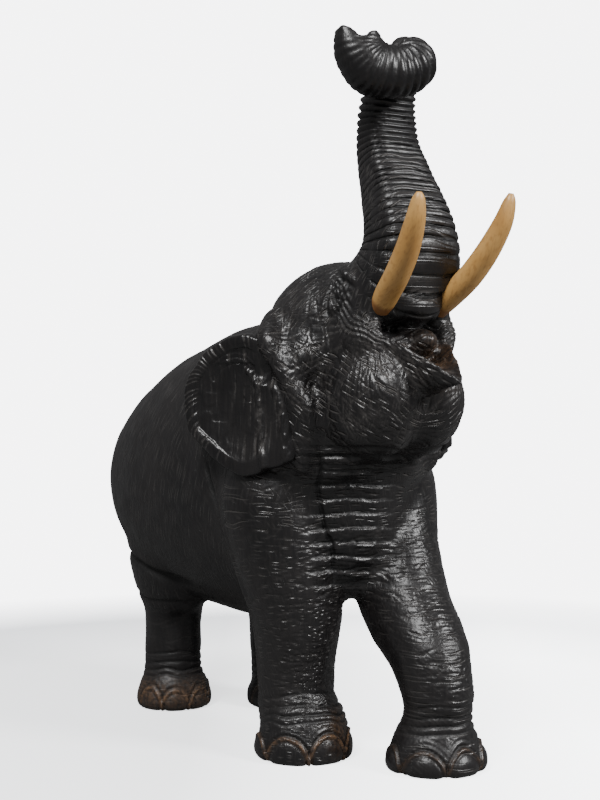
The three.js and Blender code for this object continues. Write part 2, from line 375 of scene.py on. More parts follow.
# %% Noise
def noise(p, size, seed):
    """Value noise from -1 to 1: random numbers at the corners of cubes `size` mm wide, blended
    by 3 f squared less 2 f cubed along each axis."""
    grid = np.random.default_rng(seed).uniform(-1, 1, (64, 64, 64))
    q = p / size + 512.0
    cell = np.floor(q).astype(int)
    f = q - cell
    f = f * f * (3 - 2 * f)
    total = 0.0
    for corner in np.ndindex(2, 2, 2):
        weight = np.prod([np.where(c, f[:, k], 1 - f[:, k]) for k, c in enumerate(corner)], axis=0)
        i, j, k = ((cell + corner) % 64).T
        total = total + weight * grid[i, j, k]
    return total


def ramp(low, high, values):
    """0 below `low`, 1 above `high`, and a smooth step between. It runs down if low > high."""
    f = np.clip((values - low) / (high - low), 0, 1)
    return f * f * (3 - 2 * f)


def bump(values, width):
    """1 at 0, falling away as a bell of that width."""
    return np.exp(-((values / width) ** 2))


# %% [markdown]
# ## The trunk's rings
# The carver cut a groove across the trunk's flat front every few millimetres, with a lighter
# nick carried on round the sides, and let the rings fan out where the trunk bends. A point's
# ring is found from the nearest place on the trunk's path, so the fan comes out by itself.

# %% Where a point lies on the trunk
ROUTE = blended(TRUNK, 420)
ROUTE_ALONG, ROUTE_WIDE, ROUTE_DEEP = steady_frames(ROUTE[:, :3])
ROUTE_ARC = np.concatenate([[0], np.cumsum(np.linalg.norm(np.diff(ROUTE[:, :3], axis=0), axis=1))])


def on_trunk(p):
    """For each point: distance along the path, turn about it, and how far out it is, where 1 is
    the trunk's own surface. The nearest path point comes from comparing with all of them."""
    nearest = np.empty(len(p), int)
    for start in range(0, len(p), 4000):
        part = p[start:start + 4000]
        gap = ((part[:, None] - ROUTE[None, :, :3]) ** 2).sum(-1)
        nearest[start:start + 4000] = gap.argmin(1)
    offset = p - ROUTE[nearest, :3]
    across = np.sum(offset * ROUTE_WIDE[nearest], 1) / ROUTE[nearest, 3]
    down = np.sum(offset * ROUTE_DEEP[nearest], 1) / ROUTE[nearest, 4]
    s = ROUTE_ARC[nearest] + np.sum(offset * ROUTE_ALONG[nearest], 1)
    return s, np.arctan2(down, across), np.hypot(across, down)


# Pitches in mm: on the curl, at the forehead and at the very tip.
RING_PITCH = 2.9
BASE_PITCH = 4.8
TIP_PITCH = 1.9
CURL_MIDDLE = np.array([-9.0, -95, 296])
RING_GROOVE = 0.42


def ring_number(s):
    """How many rings lie before distance s: one over the pitch, added up along the path. The
    rings are BASE_PITCH wide at the forehead, RING_PITCH from the bend on, and TIP_PITCH at
    the tip."""
    steps = np.linspace(0, 260, 1041)
    pitch = RING_PITCH + (BASE_PITCH - RING_PITCH) * ramp(72, 44, steps)
    pitch = pitch + (TIP_PITCH - RING_PITCH) * ramp(167, 176, steps)
    return np.interp(s, steps, np.cumsum(0.25 / pitch))


def trunk_rings(p):
    """Height in mm, and each point's ring number with how strongly it is ringed there. The
    grooves are deepest across the front and round the whole of the curl, each with its own
    depth and a slight wander. The rings between them are flat, but swell on the curl. Both
    fade on the outside of the last bend."""
    height, number, strength = np.zeros(len(p)), np.zeros(len(p)), np.zeros(len(p))
    near = np.flatnonzero((p[:, 2] > 172) & (p[:, 1] < -52) & (abs(p[:, 0]) < 36))
    s, turn, out = on_trunk(p[near])
    curl = ramp(100, 112, s)
    phase = ring_number(s) + 0.12 * noise(p[near], 11, 3)
    tip = ramp(168, 178, s)
    from_middle = np.linalg.norm(p[near] - CURL_MIDDLE, axis=1)
    faded = 1 - 0.6 * ramp(138, 146, s) * ramp(12, 17, from_middle) * ramp(0, -6, p[near, 0])
    own = np.random.default_rng(4).uniform(0.6, 1.15, 400)[np.floor(phase).astype(int) % 400]
    line = abs(phase % 1 - 0.5) * (RING_PITCH + (TIP_PITCH - RING_PITCH) * tip)
    front = np.maximum(ramp(0.25, 0.6, -np.sin(turn)), 0.85 * curl)
    broken = 0.35 + 0.65 * ramp(-0.25, 0.3, noise(p[near], 6, 5))
    depth = own * (0.55 * broken + 0.35 * front) * faded * (1 - 0.2 * tip)
    side = 1 - front
    cover = ramp(1.42, 1.2, out) * ramp(43 + 2 * side, 48 + 8 * side, s)
    swell = (0.04 + 0.3 * curl * faded * (1 - tip)) * np.cos(2 * np.pi * phase)
    height[near] = cover * (swell - depth * bump(line, RING_GROOVE))
    number[near] = phase
    strength[near] = cover * np.clip(depth, 0, 1) * (1 - curl)
    return height, number, strength


ROOT_FOLD_PITCH = 1.7
TUSK_FOLD_LINE = [[12, -99, 186], [15, -91, 187], [17, -86, 196], [17, -81, 208]]


def root_folds(p):
    """Height in mm: long grooves that come down from the forehead, pass behind the tusk's root
    and turn forward under it. They are at even distances from a line through the root."""
    x, y, z = p.T
    near = np.flatnonzero((z > 174) & (z < 222) & (y < -62) & (abs(x) > 6))
    q = p[near].copy()
    q[:, 0] = abs(q[:, 0])
    away = np.full(len(q), 99.0)
    for a, b in zip(np.array(TUSK_FOLD_LINE[:-1], float), np.array(TUSK_FOLD_LINE[1:], float)):
        f = np.clip((q - a) @ (b - a) / ((b - a) @ (b - a)), 0, 1)
        away = np.minimum(away, np.linalg.norm(q - a - f[:, None] * (b - a), axis=1))
    away = away + 0.45 * noise(p[near], 9, 6)
    line = abs((away / ROOT_FOLD_PITCH) % 1 - 0.5) * ROOT_FOLD_PITCH
    swell = 0.12 * np.cos(2 * np.pi * away / ROOT_FOLD_PITCH)
    behind = np.maximum(ramp(-90, -86, q[:, 1]), ramp(187, 184, q[:, 2]))
    cover = ramp(5, 6.5, away) * ramp(16, 12.5, away) * behind * ramp(214, 206, q[:, 2])
    height = np.zeros(len(p))
    height[near] = cover * (swell - 0.6 * bump(line, 0.42))
    return height


# %% [markdown]
# ## Trunk tip
# The tip is an open cup. Its rim rises to a tall lip on one side and a lower one on the other,
# with a notch between them.

# %% Hollow the tip
TIP_ACROSS = np.array([0.866, -0.5, 0.0])


def hollow_tip(p):
    """Raises or lowers the points at the end: a tall broad lip, a lower one across the notch,
    and a dent in the middle."""
    offset = p - ROUTE[-1, :3]
    u = offset @ TIP_ACROSS
    v = offset @ np.cross([0, 0, 1], TIP_ACROSS)
    end = ramp(-7, -0.5, offset[:, 2]) * (np.hypot(u, v) < 14)
    lips = 3.3 * bump(u + 6.4, 4.6) + 2.7 * bump(u - 7.4, 3.0) - 1.6 * bump(u - 1.4, 2.6)
    dent = 6.0 * np.exp(-((u - 0.5) / 5.4) ** 2 - ((v - 0.6) / 3.2) ** 2)
    return p + np.outer(end * (lips - dent), [0, 0, 1])


# %% [markdown]
# ## Feet
# Each toenail is an arch with a smooth, nearly flat face inside a thin raised rim. The skin above
# folds in fine creases that follow the arches, and the ankle has four deeper folds.

# %% Toenails and ankle folds
FRONT_NAILS = np.radians([-106, -51, 3, 56, 110])
REAR_NAILS = np.radians([-66, -22, 22, 66])
# Height of each fold's line above the table and its depth, in mm.
ANKLE_FOLDS = [(15.6, 0.55), (18.6, 0.8), (22.0, 0.7), (26.5, 0.5)]


def foot_detail(p, leg, nails, reach, broad, strength, seed):
    """Height in mm round one foot, and how near a point is to a nail's rim. In a nail's own
    layout, u runs round the foot from the nail's middle and the arch is an ellipse; `away` is
    the distance from it, minus inside."""
    height, rims = np.zeros(len(p)), np.zeros(len(p))
    x, y = leg[0][:2]
    near = np.flatnonzero((p[:, 2] < 42) & (np.hypot(p[:, 0] - x, p[:, 1] - y) < 30))
    q = p[near]
    turn = np.arctan2(q[:, 0] - x, -(q[:, 1] - y))
    h = np.zeros(len(near))
    wobble = noise(q, 5, seed)
    nearest = np.full(len(near), 9.0)
    for k, nail in enumerate(nails):
        u = reach * np.angle(np.exp(1j * (turn - nail)))
        wide, tall = broad + 0.5 * np.sin(9 * k + seed), 10.6 + 0.9 * np.sin(5 * k + seed)
        away = (np.hypot(u / wide, q[:, 2] / tall) - 1) * 0.95 * broad + 0.22 * wobble
        nearest = np.minimum(nearest, away)
        h += 0.6 * ramp(-0.2, -3.8, away)
        h += 0.5 * bump(away - 0.2, 0.5) - 0.4 * bump(away + 0.75, 0.4)
        h -= 0.85 * bump(away - 1.35, 0.5)
        rims[near] = np.maximum(rims[near], bump(away - 0.2, 0.7))
    folds = bump(nearest - 3.1, 0.5) + 0.7 * bump(nearest - 4.9 - 0.5 * wobble, 0.5)
    h -= 0.25 * folds * ramp(20, 14, q[:, 2])
    h *= strength * ramp(-2, 1.6, q[:, 2])
    leg_front = ramp(-0.5, 0.5, np.cos(turn) + 0.35 * noise(q, 8, seed + 1))
    for level, depth in ANKLE_FOLDS:
        line = q[:, 2] - level - 1.3 * noise(q, 9, seed + 2) - 1.5 * np.cos(turn)
        h -= depth * (0.4 + 0.6 * leg_front) * bump(line, 0.55)
    height[near] = h
    return height, rims


# %% [markdown]
# ## Chest and skin folds
# The brisket is cut in level folds like a washboard, and a crease runs down where it meets the
# right leg. The same idea in a softer form marks the flank's fold above each hind leg.

# %% Chest ridges
FOLD_PITCH = 6.1


def chest_ridges(p, n):
    """Height in mm: folds FOLD_PITCH apart down the front of the chest. Each leans in as it goes
    down, so the next one starts with a ledge under a sharp groove."""
    x, y, z = p.T
    wander = 1.0 * noise(p, 14, 21) + 0.5 * ramp(3, 22, x) * noise(p, 7, 24) * 4
    phase = (z - wander) / FOLD_PITCH
    share = phase % 1
    groove = np.minimum(share, 1 - share) * FOLD_PITCH
    own = np.random.default_rng(22).uniform(0.8, 1.2, 64)[np.floor(phase + 0.5).astype(int) % 64]
    front = ramp(0.1, 0.5, -n[:, 1]) * ramp(-44, -50, y)
    across = ramp(15, 9, abs(x + 13)) + 0.5 * ramp(-6, -2, x) * ramp(16, 6, x)
    cover = front * np.minimum(across, 1) * ramp(69, 77, z) * ramp(134, 127, z)
    h = cover * own * (1.5 * (share - 0.5) * ramp(0, 0.16, share) - 0.8 * bump(groove, 0.55))
    crease = bump(x + 20 + 0.25 * (z - 100) - 0.9 * noise(p, 9, 23), 0.75) * ramp(-38, -46, y)
    return h - 0.9 * crease * ramp(70, 84, z) * ramp(134, 124, z)


# Height of each fold's line and its depth, in mm.
JOWL_FOLDS = [(131, 0.6), (127.5, 0.8), (123.6, 0.5)]


def soft_folds(p):
    """Height in mm: a few long folds, each a groove along a line. One curves up over the thigh,
    one rings the hind leg, one runs down behind the elbow, and three lie under the jowls."""
    x, y, z = p.T
    wander = 2.0 * noise(p, 16, 31)
    off_middle = ramp(8, 14, abs(x))
    thigh = 66 + 0.0033 * (y - 20) ** 2
    height = -1.7 * bump(z - thigh - wander, 2.4) * ramp(20, 40, y) * off_middle
    height -= 0.6 * bump(z - 55 - wander - 0.06 * (y - 70), 1.1) * ramp(28, 40, y) * off_middle
    elbow = y + 31.5 - 0.28 * (z - 71) - 0.5 * wander
    beside = ramp(18, 26, abs(x)) * ramp(58, 68, z) * ramp(130, 118, z)
    height += beside * (0.7 * bump(elbow + 1.2, 1.6) - 1.3 * bump(elbow - 2, 1.5))
    throat = ramp(-36, -44, y) * ramp(40, 30, abs(x))
    for level, depth in JOWL_FOLDS:
        height -= depth * bump(z - level - wander * 0.5 - abs(x) * 0.06, 0.8) * throat
    return height


# %% [markdown]
# ## The eye
# The eye is half shut: a narrow upright almond between two heavy lids, with wrinkles beside it
# that follow the lids.

# %% Eyes
EYE = np.array([23.5, -78, 195.5])


def eye_detail(p, n, side):
    """Height in mm about one eye. In the skin's own plane, u runs forward and v up; `ring` is
    the distance from the centre measured so that the almond's edge is at 1."""
    middle = np.argmin(np.linalg.norm(p - EYE * [side, 1, 1], axis=1))
    centre = p[middle]
    close = np.linalg.norm(p - centre, axis=1)
    out = n[close < 7].mean(0)
    out /= np.linalg.norm(out)
    up = np.array([0, -0.25, 1.0])
    up = up - out * (up @ out)
    up /= np.linalg.norm(up)
    forward = side * np.cross(up, out)
    offset = p - centre
    u, v = offset @ forward, offset @ up
    near = (close < 17) & (n @ out > 0.2)
    ring = np.hypot(u / 1.9, v / 4.3)
    h = 0.55 * ramp(1.0, 0.3, ring) - 0.95 * bump((ring - 1.0) * 1.9, 0.6)
    h += 0.85 * bump((ring - 1.75) * 1.9, 0.75) - 0.7 * bump((ring - 2.55) * 1.9, 0.55)
    h += 0.45 * bump((ring - 3.3) * 1.9, 0.7) * (v < 3)
    h -= 0.4 * bump(u, 0.35) * (ring < 0.85)
    brow = 1.3 * bump(v - 8.2 - 0.25 * u, 2.2) * ramp(13, 6, abs(u))
    brow = brow - 0.8 * bump(v - 5.6 - 0.25 * u, 1.1)
    return np.where(near, (h + brow * ramp(12, 8, abs(u))) * ramp(16, 9, close), 0)


# %% [markdown]
# ## Tool marks
# The rest of the skin is covered in strokes of a small V gouge: crossed on the brow, forward
# and down over the jowls with a few arcs among them, level on the legs, long and fine on the
# flanks. Each stroke is a groove in the plane of the skin under its middle, so all that is
# needed is the points near it. They are found by sorting all points into small cubes once.

# %% Points sorted into cells
CELL = 5.0


def sort_into_cells(p):
    """Numbers the cubes along z first, so that a run of cubes one above another is one run of
    the sorted points."""
    low = p.min(0) - CELL
    shape = np.ceil((p.max(0) - low) / CELL).astype(int) + 2
    cell = ((p - low) / CELL).astype(int)
    key = (cell[:, 0] * shape[1] + cell[:, 1]) * shape[2] + cell[:, 2]
    starts = np.concatenate([[0], np.cumsum(np.bincount(key, minlength=shape.prod()))])
    return {"order": np.argsort(key, kind="stable"), "starts": starts, "low": low, "shape": shape}


def in_box(cells, centre, reach):
    """The points in the cubes that a box round `centre` touches."""
    first = np.maximum(((centre - reach - cells["low"]) / CELL).astype(int), 0)
    last = np.minimum(((centre + reach - cells["low"]) / CELL).astype(int), cells["shape"] - 1)
    rows = np.arange(first[0], last[0] + 1)[:, None] * cells["shape"][1]
    column = ((rows + np.arange(first[1], last[1] + 1)) * cells["shape"][2]).ravel()
    a, b = cells["starts"][column + first[2]], cells["starts"][column + last[2] + 1]
    return cells["order"][np.concatenate([np.arange(i, j) for i, j in zip(a, b)])]


# %% Strokes
def cut_strokes(p, n, cells, centres, directions, lengths, widths, depths):
    """Height in mm. Along a stroke u runs from -1 to 1 and v is the distance from its line: the
    groove is as deep as depth times (1 - |v| / width), and runs out at its ends as 1 - u^2.
    Where strokes cross, the deeper one counts."""
    height = np.zeros(len(p))
    for c, d, length, width, depth in zip(centres, directions, lengths, widths, depths):
        near = in_box(cells, p[c], abs(d) * length / 2 + 2 * width)
        offset = p[near] - p[c]
        across = np.cross(n[c], d)
        u, v = offset @ d / (length / 2), offset @ across
        v = v + 0.06 * length * (u * u - 0.3) * np.sin(c)
        same = (n[near] @ n[c] > 0.25) & (abs(offset @ n[c]) < 5)
        cut = depth * np.clip(1 - abs(v) / width, 0, 1) * np.clip(1 - u * u, 0, 1) ** 0.6 * same
        lip = 0.3 * depth * bump(v - width * 1.25, width * 0.4) * np.clip(1 - u * u, 0, 1) * same
        height[near] = np.where(cut > 0, np.minimum(height[near], -cut), height[near] + lip)
    return height


def tangent(n, d):
    """The direction d laid flat on the skin whose normal is n, at unit length."""
    d = d - n * np.sum(n * d, 1, keepdims=True)
    return d / np.maximum(np.linalg.norm(d, axis=1, keepdims=True), 1e-9)


def stroke_set(p, n, cells, chance, flow, count, length, width, depth, seed, spread=0.25):
    """`count` strokes at random points, where `chance` says how likely a point is. `flow` gives
    the direction for chosen points, turned by a random angle of about `spread` radians."""
    random = np.random.default_rng(seed)
    centres = random.choice(len(p), count, p=chance / chance.sum())
    d = tangent(n[centres], flow(p[centres], n[centres], random))
    turn = random.normal(0, spread, (count, 1))
    d = d * np.cos(turn) + np.cross(n[centres], d) * np.sin(turn)
    return cut_strokes(p, n, cells, centres, d, random.uniform(*length, count),
                       random.uniform(*width, count), random.uniform(*depth, count))


JOWL_AXIS = {side: np.array([side * 12.0, -95, 148]) for side in (-1, 1)}


def around_jowl(p, n, random):
    """Round the middle of the nearer jowl: square to the line out from it."""
    middle = np.array([JOWL_AXIS[-1 if x < 0 else 1] for x in p[:, 0]])
    return np.cross(n, p - middle)


def down_and_forward(p, n, random):
    """Forward and down at 33 degrees, as the strokes on the lower jaw run."""
    side = np.where(p[:, 0] < 0, -1.0, 1.0)
    return np.stack([-0.73 * side, np.full(len(p), -0.42), np.full(len(p), -0.54)], 1)


def from_mouth(p, n, random):
    """Out from the corner of the mouth on that side."""
    corner = np.stack([np.where(p[:, 0] < 0, -17.0, 17.0), np.full(len(p), -92.0),
                       np.full(len(p), 181.0)], 1)
    return p - corner


def crossed(p, n, random):
    """Two crossing directions, picked at random, as on the forehead."""
    lean = np.where(random.random(len(p)) < 0.6, 1.0, -0.8)[:, None]
    back_and_down = np.array([0.0, 0.75, -1.0])
    return back_and_down + lean * np.array([0.0, -0.9, -0.1])


def level(p, n, random):
    """Level: square to both the skin and the upright."""
    return np.cross(n, np.broadcast_to([0.0, 0.0, 1.0], n.shape))


def down_flank(p, n, random):
    """Down the flank, leaning back as it goes, the way hair lies."""
    lean = np.clip((150 - p[:, 2:3]) / 120, 0, 1)
    return np.array([0.0, 0.12, -1.0]) + lean * np.array([0.0, 0.55, 0.0])


def along_tail(p, n, random):
    """Down the tail."""
    return np.broadcast_to([0.02, 0.05, -1.0], n.shape)


# A chance that is never quite nothing, so that the chances always add up to something.
FAINT = 1e-9


def all_strokes(p, n):
    """Every set of strokes: where it is likely, which way it runs, and how heavy it is."""
    cells = sort_into_cells(p)
    x, y, z = p.T
    near_trunk = np.zeros(len(p), bool)
    candidates = np.flatnonzero((z > 172) & (y < -52) & (abs(x) < 36))
    s, _, out = on_trunk(p[candidates])
    near_trunk[candidates] = (out < 1.3) & (s > 30)
    head = ramp(-24, -36, y) * (z > 120) * (z < 215) * ~near_trunk
    mouth_inside = (y < -88) & (z > 160) & (n[:, 2] > 0.2) & (abs(x) < 17)
    head = head * ~mouth_inside + FAINT
    jowls = head * (z < 176) * (y < -50)
    cheek = head * bump(np.hypot(np.hypot(abs(x) - 18, y + 94), z - 172), 20)
    brow = head * (z > 165)
    legs = (z > 22) * (z < 100) * ramp(-20, 0, 92 - z) * (y < -20) + FAINT
    legs_front = legs * ramp(0.1, 0.7, -n[:, 1])
    hind = (z > 18) * (z < 62) * (y > 20) + FAINT
    flank = (z > 52) * ramp(-44, -24, y) * (y < 104) + FAINT
    neck = (y > -60) * (y < -14) * (z > 96) + FAINT
    chest = (y < -48) * (z > 70) * (z < 136) + FAINT
    tail = (y > 84) * (z < 150) * (abs(x - 2) < 8) + FAINT
    sets = [
        (jowls, down_and_forward, 420, (5, 14), (0.5, 0.75), (0.3, 0.65), 41, 0.22),
        (jowls, around_jowl, 150, (6, 13), (0.5, 0.75), (0.2, 0.5), 52, 0.3),
        (cheek, from_mouth, 260, (8, 20), (0.5, 0.75), (0.35, 0.7), 42, 0.12),
        (brow, crossed, 300, (7, 18), (0.45, 0.7), (0.3, 0.6), 43, 0.2),
        (legs_front, level, 460, (3.5, 9), (0.5, 0.8), (0.35, 0.65), 44, 0.18),
        (legs, level, 620, (4, 10), (0.5, 0.75), (0.22, 0.45), 45, 0.3),
        (legs, crossed, 160, (4, 9), (0.5, 0.7), (0.12, 0.26), 46, 0.3),
        (hind, level, 260, (4, 10), (0.5, 0.75), (0.12, 0.28), 47, 0.2),
        (flank, down_flank, 1300, (9, 26), (0.45, 0.65), (0.07, 0.17), 48, 0.12),
        (neck, down_flank, 200, (6, 14), (0.55, 0.8), (0.18, 0.36), 49, 0.3),
        (chest, level, 160, (4, 10), (0.5, 0.75), (0.2, 0.4), 50, 0.2),
        (tail, along_tail, 60, (8, 18), (0.5, 0.7), (0.25, 0.45), 51, 0.1),
    ]
    height = np.zeros(len(p))
    for chance, flow, count, length, width, depth, seed, spread in sets:
        height += stroke_set(p, n, cells, chance, flow, count, length, width, depth, seed, spread)
    return 0.7 * np.maximum(height, -1.0)


# %% [markdown]
# ## Fine hatching
# Between the larger strokes the skin is hatched finer than its points can show. Each point
# carries a pair of numbers that grow along and across the hatching, and the wood's own texture
# draws a short dash in every cell of them, bumped in and lightened as a painted highlight.

# %% Hatching coordinates
def hatching(p, n):
    """Three numbers a point: distance along the hatching and across it, in dashes, and how
    strongly the skin is hatched there. Each area has its own directions, and the hatching
    fades out at the edges between areas, where the directions change."""
    x, y, z = p.T
    side = np.where(x < 0, -1.0, 1.0)
    wave = 0.8 * noise(p, 9, 55)
    forward = -0.87 * side * x - 0.5 * y
    flank = (y > -24) & (z > 40)
    legs = (z < 96) & ((y < -24) | (z < 50))
    chest = (z >= 96) & (z < 134) & (y < -30)
    jowl = (z >= 134) & (z < 176) & (y < -50)
    brow = (z >= 176) & (y < -24)
    u, v = z / 9, y / 1.3 + 1.6 * wave
    for area, along, across in (
            (flank, (0.35 * y - z) / 13, (y + 0.35 * z) / 1.3 + wave),
            (legs, np.arctan2(x - side * 22, -y - 50) * 3.2, z / 1.25 + wave),
            (chest, x / 7, z / 1.25 + 1.5 * wave),
            (jowl, (0.84 * forward - 0.54 * z) / 7, (0.54 * forward + 0.84 * z) / 1.3 + wave),
            (brow, (z - 0.5 * y) / 8, (y + 0.5 * z) / 1.3 + wave)):
        u, v = np.where(area, along, u), np.where(area, across, v)
    edges = [abs(y + 24), abs(z - 176), abs(z - 134), abs(z - 96)]
    cover = np.where(flank | legs, 0.4, np.where(brow | jowl, 0.9, 0.6))
    for edge in edges:
        cover = cover * ramp(0.6, 2.5, edge + 2 * (y > -20))
    cover = cover * ramp(262, 240, z) * (n[:, 2] > -0.8)
    return np.stack([u, v, cover], 1)


# %% [markdown]
# ## Two woods
# The block is dark wood stained black and waxed: almost black, a little warm where the stain is
# thin, glossier on the ridges and duller down in the cuts. Its colour also holds painted shade
# down in the cuts and painted highlights along the stroke edges. The tusks are pale, yellow and
# finely grained.

# %% Materials
def node_material(name):
    """A new material, its node tree and its Principled shader."""
    material = bpy.data.materials.new(name)
    material.use_nodes = True
    tree = material.node_tree
    return material, tree, tree.nodes["Principled BSDF"]


def add(tree, kind, links=None, **settings):
    """A node with its settings made, and its inputs set to values or joined to sockets."""
    node = tree.nodes.new(kind)
    for key, value in settings.items():
        setattr(node, key, value)
    for key, value in (links or {}).items():
        if isinstance(value, bpy.types.NodeSocket):
            tree.links.new(value, node.inputs[key])
        else:
            node.inputs[key].default_value = value
    return node


def blend_colors(tree, factor, first, second):
    """The first colour where the factor is 0, the second where it is 1."""
    mix = add(tree, "ShaderNodeMix", data_type="RGBA")
    for socket, value in ((mix.inputs[0], factor), (mix.inputs[6], first), (mix.inputs[7], second)):
        if isinstance(value, bpy.types.NodeSocket):
            tree.links.new(value, socket)
        else:
            socket.default_value = value
    return mix.outputs[2]


def streaks(tree, coordinates, scale, stretch, detail=3):
    """Noise in Object coordinates, stretched by unequal scales."""
    mapping = add(tree, "ShaderNodeMapping", {"Vector": coordinates, "Scale": stretch})
    inputs = {"Vector": mapping.outputs[0], "Scale": scale, "Detail": detail}
    return add(tree, "ShaderNodeTexNoise", inputs).outputs["Fac"]


def remap(tree, value, low, high, to_low, to_high):
    """A straight ramp from `to_low` at `low` to `to_high` at `high`, held level beyond both."""
    inputs = {"Value": value, "From Min": low, "From Max": high, "To Min": to_low,
              "To Max": to_high}
    return add(tree, "ShaderNodeMapRange", inputs).outputs[0]


def math(tree, operation, first, second=0.0):
    """One sum on one or two values."""
    return add(tree, "ShaderNodeMath", {0: first, 1: second}, operation=operation).outputs[0]


def times(tree, first, second):
    """The product of two values."""
    return math(tree, "MULTIPLY", first, second)


def carried(tree, name, output="Fac"):
    """A value that the mesh's points carry."""
    return add(tree, "ShaderNodeAttribute", attribute_name=name).outputs[output]


def rough_bump(tree, height, distance, strength, below=None):
    """A normal that leans as the height does, on top of the one from `below`."""
    links = {"Height": height, "Distance": distance, "Strength": strength}
    if below is not None:
        links["Normal"] = below
    return add(tree, "ShaderNodeBump", links).outputs[0]


def ring_grooves(tree):
    """1 along the middle of each ring's groove: the ring number's fraction is compared with a
    half, and the line is a tenth of a ring wide on each side. The wood paints shade along it
    and bumps it."""
    part = math(tree, "FRACT", carried(tree, "ring"))
    off = math(tree, "ABSOLUTE", math(tree, "SUBTRACT", part, 0.5))
    return times(tree, remap(tree, off, 0.03, 0.13, 1, 0), carried(tree, "ring_depth"))


def dash_layer(tree, flow, most):
    """One dash in each cell of a pair of coordinates. Some cells are left plain, picked by the
    cell's own random colour."""
    cell = add(tree, "ShaderNodeTexVoronoi", {"Vector": flow, "Scale": 1.0},
               voronoi_dimensions="2D")
    own = add(tree, "ShaderNodeSeparateXYZ", {0: cell.outputs["Color"]}).outputs[0]
    dash = remap(tree, cell.outputs["Distance"], 0.12, 0.38, 1, 0)
    return times(tree, dash, remap(tree, own, 0.3, 0.8, 0, most))


def dashes(tree):
    """A layer of dashes along the hatching, and a fainter one across it at 65 degrees. The wood
    lightens them as a painted highlight and bumps them in.
    """
    flow = carried(tree, "hatching", "Vector")
    cover = add(tree, "ShaderNodeSeparateXYZ", {0: flow}).outputs[2]
    turned = add(tree, "ShaderNodeMapping", {"Vector": flow, "Scale": (8, 1.3, 0),
                                             "Rotation": (0, 0, np.radians(65))}).outputs[0]
    turned = add(tree, "ShaderNodeMapping", {"Vector": turned,
                                             "Scale": (1 / 7, 1 / 1.2, 0)}).outputs[0]
    both = math(tree, "MAXIMUM", dash_layer(tree, flow, 1.0), dash_layer(tree, turned, 0.3))
    return times(tree, both, cover)


BLACK_STAIN = (0.0042, 0.0038, 0.0043, 1)
GREY_STAIN = (0.0095, 0.0082, 0.0084, 1)
OPEN_GRAIN = (0.018, 0.0155, 0.0145, 1)
# Lighter grey along the strokes: partly scuffed wear, partly painted highlight on their edges.
SCUFF_AND_HIGHLIGHT_GREY = (0.085, 0.078, 0.073, 1)
# Lighter grey on the hatching's dashes: painted highlight.
DASH_HIGHLIGHT_GREY = (0.1, 0.092, 0.086, 1)
BARE_BROWN = (0.15, 0.085, 0.045, 1)
# Near black for painted shade down in the folds.
FOLD_SHADE = (0.0016, 0.0015, 0.0016, 1)
# Near black for painted shade along the trunk's ring grooves.
RING_SHADE = (0.001, 0.001, 0.001, 1)


def ebonised():
    """Nearly black wood: lighter along the strokes, partly scuffed wear and partly a painted
    highlight on their edges, brown where the stain has worn off, and darkest down in the folds
    and ring grooves, which is painted shade. The colours are laid one over another in that order."""
    material, tree, shader = node_material("ebonised_wood")
    where = add(tree, "ShaderNodeTexCoord").outputs["Object"]
    cloud = streaks(tree, where, 45, (1, 1, 0.6))
    grain = streaks(tree, where, 900, (1, 1, 0.09), 4)
    nicks = streaks(tree, where, 620, (1, 1, 1), 2)
    patchy = remap(tree, nicks, 0.35, 0.62, 0.15, 1)
    groove, dash = ring_grooves(tree), dashes(tree)
    hollow = carried(tree, "hollow")
    scuff_highlight_mask = times(tree, carried(tree, "scuff_and_highlight"), patchy)
    layers = [(remap(tree, cloud, 0.35, 0.7, 0, 1), GREY_STAIN),
              (remap(tree, grain, 0.4, 0.75, 0, 0.5), OPEN_GRAIN),
              # Scuffed wear and painted highlight along the strokes.
              (times(tree, scuff_highlight_mask, 0.75), SCUFF_AND_HIGHLIGHT_GREY),
              # Painted highlight on the dashes.
              (times(tree, dash, 0.6), DASH_HIGHLIGHT_GREY),
              (times(tree, carried(tree, "wear"), patchy), BARE_BROWN),
              # Painted shade down in the folds.
              (times(tree, hollow, 0.8), FOLD_SHADE),
              # Painted shade along the ring grooves.
              (groove, RING_SHADE)]
    color = BLACK_STAIN
    for factor, layer in layers:
        color = blend_colors(tree, factor, color, layer)
    tree.links.new(color, shader.inputs["Base Color"])
    rough = remap(tree, cloud, 0.3, 0.7, 0.30, 0.42)
    rough = math(tree, "ADD", rough, times(tree, hollow, 0.3))
    rough = math(tree, "ADD", rough, times(tree, carried(tree, "dull"), 0.12))
    tree.links.new(rough, shader.inputs["Roughness"])
    under = rough_bump(tree, grain, 0.00022, 0.5)
    under = rough_bump(tree, nicks, 0.0003, 0.4, under)
    under = rough_bump(tree, remap(tree, dash, 0, 1, 1, 0), 0.0006, 0.9, under)
    under = rough_bump(tree, remap(tree, groove, 0, 1, 1, 0), 0.0007, 0.9, under)
    tree.links.new(under, shader.inputs["Normal"])
    return material


STRAW = (0.46, 0.235, 0.062, 1)
CREAM = (0.58, 0.33, 0.105, 1)
FIBRE = (0.30, 0.135, 0.032, 1)
GLUE = (0.2, 0.07, 0.02, 1)


